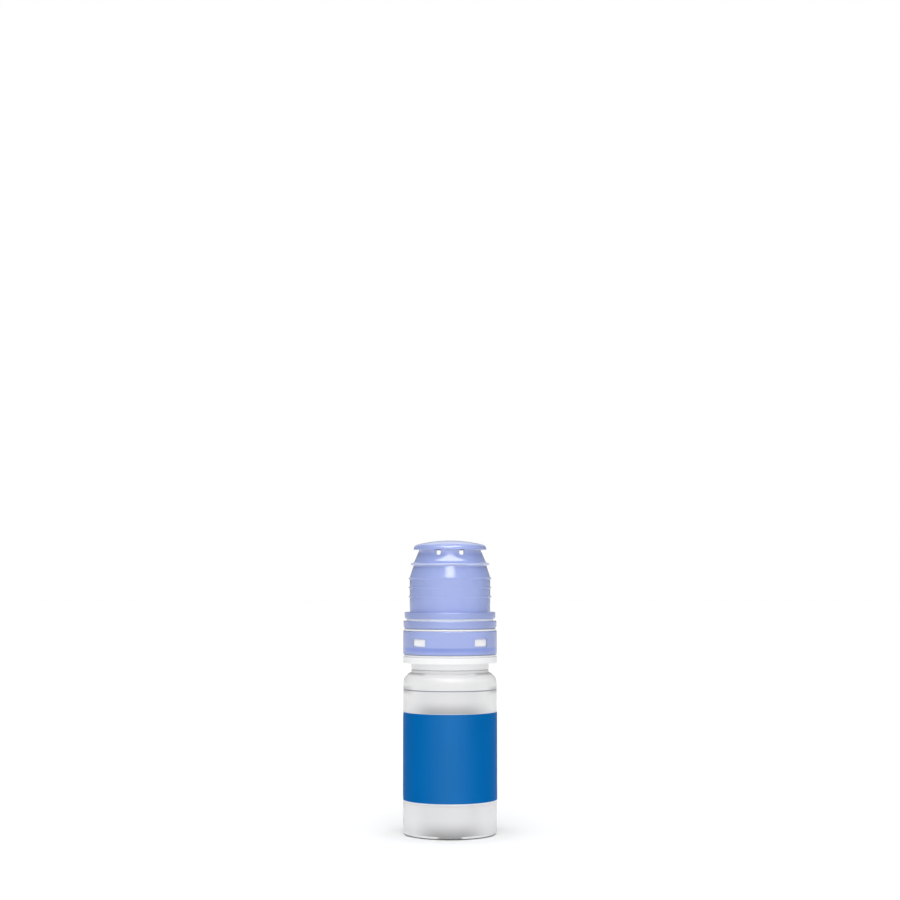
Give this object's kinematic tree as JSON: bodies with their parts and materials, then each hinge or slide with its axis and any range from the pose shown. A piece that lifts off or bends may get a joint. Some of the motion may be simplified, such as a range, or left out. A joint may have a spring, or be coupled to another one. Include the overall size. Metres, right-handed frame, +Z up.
{
  "type": "eye drop bottle",
  "caption": "Squeeze bottle for eye drops with a blue wrap label, a clip-on dispenser head with a sprung tip valve, and a periwinkle pull-off cap.",
  "frame": {"origin": "centre of the base, on the surface the bottle stands on", "axes": "+Z up along the bottle's axis, towards the cap's dome; the label's middle faces -Y"},
  "size_m": [0.024, 0.024, 0.0745],
  "materials": {
    "bottle_plastic": "milky translucent, smooth and glossy",
    "label_film": "printed film, satin",
    "collar_plastic": "opaque white, moulded gloss",
    "cap_plastic": "slightly translucent periwinkle, moulded gloss",
    "head_plastic": "moulded, fine satin",
    "silicone": "soft, translucent grey",
    "membrane": "porous sheet",
    "spring_steel": "drawn wire"
  },
  "bodies": {
    "bottle_and_head": {"bottle": "bottle_plastic", "label": "label_film", "collar": "collar_plastic", "tamper_band": "cap_plastic", "neck_gasket": "silicone", "dispenser_insert": "head_plastic", "vent_filter": "membrane", "filter_clamp_ring": "head_plastic", "nozzle": "head_plastic", "return_spring": "spring_steel"},
    "valve": {"valve_plunger": "head_plastic", "valve_tip": "silicone", "plunger_seal": "silicone"},
    "cap": {"cap": "cap_plastic"}
  },
  "joints": [
    {"name": "cap_pull", "type": "slide", "parent": "bottle_and_head", "child": "cap", "axis": [0, 0, 1], "range_m": [0, 0.022]},
    {"name": "valve_slide", "type": "slide", "parent": "bottle_and_head", "child": "valve", "axis": [0, 0, 1], "range_m": [-0.0008, 0], "stiffness_N_per_m": 300, "springref_m": 0.001, "deforming": ["return_spring"]}
  ]
}
